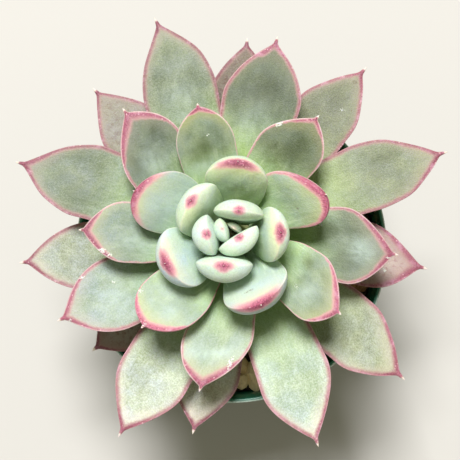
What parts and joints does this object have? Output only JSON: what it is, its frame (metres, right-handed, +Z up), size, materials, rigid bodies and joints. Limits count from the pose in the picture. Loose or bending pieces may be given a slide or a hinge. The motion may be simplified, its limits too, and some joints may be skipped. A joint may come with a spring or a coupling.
{
  "type": "potted echeveria colorata",
  "caption": "Succulent rosette of thick pointed grey-green leaves with pink tips, on a short stem in a round dark green nursery pot dressed with coarse grit.",
  "frame": {"origin": "middle of the pot's underside, on the surface that the pot stands on", "axes": "+Z up along the pot's axis, -Y towards the viewer, +X to the right of the picture"},
  "size_m": [0.1197, 0.1185, 0.122],
  "materials": {
    "pot": "moulded dark green polypropylene, semi-gloss, worn pale along the lip",
    "soil": "dark gritty potting mix, matte",
    "grit": "rough crushed stone in tan, cream and grey, matte",
    "stem": "dry olive-brown stalk skin, matte",
    "leaf_outer": "sage green skin under a thin powdery bloom, reddish margins",
    "leaf_middle": "grey-green skin under a powdery bloom, pink margins near the tip",
    "leaf_bud": "pale mint skin under a thick powdery bloom, crimson tips"
  },
  "bodies": {
    "root": {"pot": "pot", "soil": "soil", "grit": "grit", "stem": "stem", "leaf_00": "leaf_outer", "leaf_01": "leaf_outer", "leaf_02": "leaf_outer", "leaf_03": "leaf_outer", "leaf_04": "leaf_outer", "leaf_05": "leaf_outer", "leaf_06": "leaf_outer", "leaf_07": "leaf_outer", "leaf_08": "leaf_outer", "leaf_09": "leaf_outer", "leaf_10": "leaf_outer", "leaf_11": "leaf_outer", "leaf_12": "leaf_outer", "leaf_13": "leaf_middle", "leaf_14": "leaf_middle", "leaf_15": "leaf_middle", "leaf_16": "leaf_middle", "leaf_17": "leaf_middle", "leaf_18": "leaf_middle", "leaf_19": "leaf_middle", "leaf_20": "leaf_middle", "leaf_21": "leaf_middle", "leaf_22": "leaf_middle", "leaf_23": "leaf_middle", "leaf_24": "leaf_middle", "leaf_25": "leaf_bud", "leaf_26": "leaf_bud", "leaf_27": "leaf_bud", "leaf_28": "leaf_bud", "leaf_29": "leaf_bud", "leaf_30": "leaf_bud", "leaf_31": "leaf_bud", "leaf_32": "leaf_bud", "leaf_33": "leaf_bud", "leaf_34": "leaf_bud", "leaf_35": "leaf_bud"}
  },
  "joints": []
}
